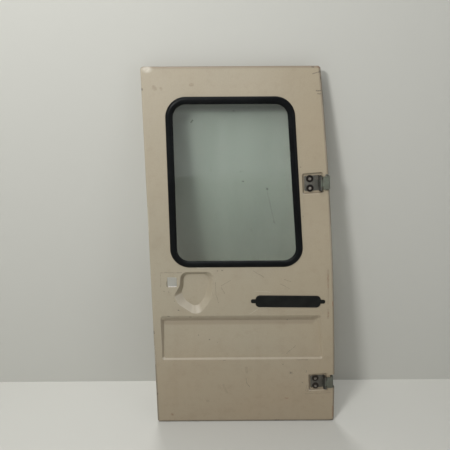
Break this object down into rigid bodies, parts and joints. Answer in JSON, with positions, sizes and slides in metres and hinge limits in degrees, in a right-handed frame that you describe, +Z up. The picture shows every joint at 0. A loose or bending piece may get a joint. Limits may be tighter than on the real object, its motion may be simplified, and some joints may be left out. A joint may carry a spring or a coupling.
{
  "type": "van rear barn door",
  "caption": "Tapered rear barn door of a small van: pressed skin with plate recess, window in a rubber seal, open inner frame and two leaning side hinges.",
  "frame": {"origin": "middle of the lower hinge's pillar face, between its two bolt holes", "axes": "+Z up with the door upright, +Y into the vehicle, +X from the closing edge to the hinge edge"},
  "size_m": [0.6197, 0.051, 1.194],
  "materials": {
    "body_paint": "aged beige paint",
    "inner_paint": "aged beige paint",
    "window_glass": "green tinted pane",
    "seal_rubber": "black rubber",
    "bar_black": "black plastic",
    "door_leaf_steel": "dark dull steel",
    "pillar_leaf_paint": "grey-green paint",
    "pin_steel": "dull steel",
    "latch_steel": "zinc plated steel"
  },
  "bodies": {
    "pillar_side": {"upper_hinge_pillar_leaf": "pillar_leaf_paint", "lower_hinge_pillar_leaf": "pillar_leaf_paint"},
    "door": {"inner_bottom_rail": "inner_paint", "inner_closing_lower_post": "inner_paint", "inner_closing_window_post": "inner_paint", "inner_header": "inner_paint", "inner_hinge_lower_post": "inner_paint", "inner_hinge_window_post": "inner_paint", "inner_waist_rail": "inner_paint", "latch_case": "latch_steel", "latch_claw": "latch_steel", "lower_hinge_door_leaf": "door_leaf_steel", "lower_hinge_pin": "pin_steel", "lower_hinge_tapping_plate": "inner_paint", "name_bar": "bar_black", "outer_skin": "body_paint", "upper_hinge_door_leaf": "door_leaf_steel", "upper_hinge_pin": "pin_steel", "upper_hinge_tapping_plate": "inner_paint", "window_glass": "window_glass", "window_seal": "seal_rubber"}
  },
  "joints": [
    {"name": "door_swing", "type": "hinge", "parent": "pillar_side", "child": "door", "pos_m": [-0.02893, -0.021, -0.00202], "axis": [-0.0696, 0, 0.9976], "range_deg": [0, 180]}
  ]
}
